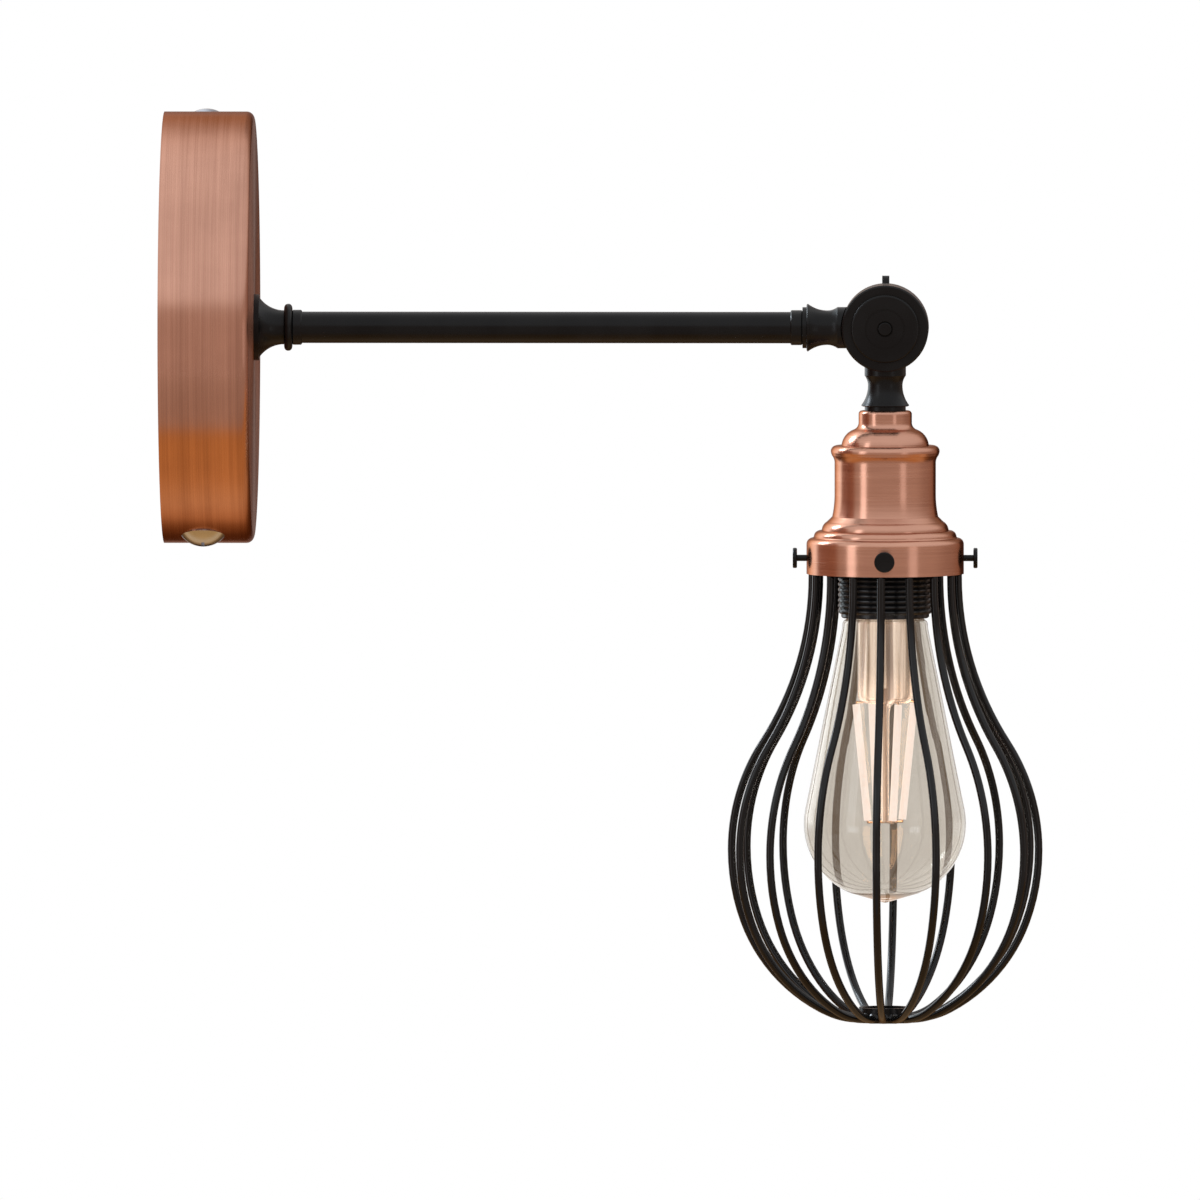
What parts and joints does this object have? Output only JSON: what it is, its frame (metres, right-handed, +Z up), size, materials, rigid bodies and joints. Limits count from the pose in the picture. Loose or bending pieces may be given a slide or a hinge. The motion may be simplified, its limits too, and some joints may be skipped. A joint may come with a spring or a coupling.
{
  "type": "cage wall light",
  "caption": "Wall light with a round cup, a straight arm, a tilting knuckle and a wire cage round a teardrop bulb.",
  "frame": {"origin": "centre of the cup in the plane of the wall, between the two wall screw holes", "axes": "+X out of the wall along the arm, +Z up, -Y towards the knuckle's covered front"},
  "size_m": [0.3461, 0.17, 0.3594],
  "materials": {
    "brushed_copper": "brushed",
    "copper": "satin",
    "black_paint": "satin",
    "black_plastic": "satin",
    "bright_steel": "polished",
    "zinc_steel": "satin",
    "brass": "satin",
    "white_plastic": "matt",
    "wire_sleeve": "satin",
    "smoked_glass": "polished",
    "clear_glass": "polished",
    "bulb_cap_metal": "satin",
    "filament": "satin"
  },
  "bodies": {
    "arm": {"wall_cup": "brushed_copper", "wall_strap": "zinc_steel", "side_screws": "bright_steel", "earth_screw": "brass", "terminal_block": "white_plastic", "terminal_poles": "brass", "nipple_washer": "zinc_steel", "nipple_nut": "brass", "wall_nipple": "zinc_steel", "arm_flange": "black_paint", "flange_ring": "black_paint", "wall_ferrule": "black_paint", "arm_tube": "black_paint", "knuckle_ferrule": "black_paint", "knuckle_nipple": "zinc_steel", "knuckle_arm_half": "black_paint", "arm_leads": "wire_sleeve"},
    "lamp_head": {"friction_washer": "black_plastic", "knuckle_lamp_half": "black_paint", "knuckle_cover": "black_paint", "pivot_bolt": "black_paint", "holder_nipple": "zinc_steel", "holder_locknut": "brass", "holder_cap": "copper", "holder_body": "copper", "shade_gallery": "copper", "shade_ring": "black_plastic", "holder_skirt": "black_plastic", "holder_insert": "black_plastic", "screw_shell": "brass", "centre_contact": "brass", "head_leads": "wire_sleeve", "cage_collar": "black_paint", "cage_wires": "black_paint", "cage_foot_ring": "black_paint"},
    "wing_nut": {"wing_nut": "black_paint"},
    "thumb_front": {"thumb_screw_front": "black_paint"},
    "thumb_rear": {"thumb_screw_rear": "black_paint"},
    "thumb_left": {"thumb_screw_left": "black_paint"},
    "thumb_right": {"thumb_screw_right": "black_paint"},
    "bulb": {"bulb_glass": "smoked_glass", "bulb_cap": "bulb_cap_metal", "bulb_insulator": "black_plastic", "bulb_contact": "bulb_cap_metal", "bulb_stem": "clear_glass", "filaments": "filament", "filament_wires": "bulb_cap_metal"}
  },
  "joints": [
    {"name": "head_tilt", "type": "hinge", "parent": "arm", "child": "lamp_head", "pos_m": [0.284, 0, 0], "axis": [0, -1, 0], "range_deg": [-30, 180]},
    {"name": "wing_nut_turn", "type": "hinge", "parent": "lamp_head", "child": "wing_nut", "pos_m": [0.284, 0.015, 0], "axis": [0, 1, 0], "continuous": true},
    {"name": "thumb_front_slide", "type": "slide", "parent": "lamp_head", "child": "thumb_front", "axis": [0, -1, 0], "range_m": [0, 0.0024]},
    {"name": "thumb_rear_slide", "type": "slide", "parent": "lamp_head", "child": "thumb_rear", "axis": [0, 1, 0], "range_m": [0, 0.0024]},
    {"name": "thumb_left_slide", "type": "slide", "parent": "lamp_head", "child": "thumb_left", "axis": [-1, 0, 0], "range_m": [0, 0.0024]},
    {"name": "thumb_right_slide", "type": "slide", "parent": "lamp_head", "child": "thumb_right", "axis": [1, 0, 0], "range_m": [0, 0.0024]},
    {"name": "bulb_turn", "type": "hinge", "parent": "lamp_head", "child": "bulb", "pos_m": [0.284, 0, -0.15], "axis": [0, 0, 1], "continuous": true}
  ]
}
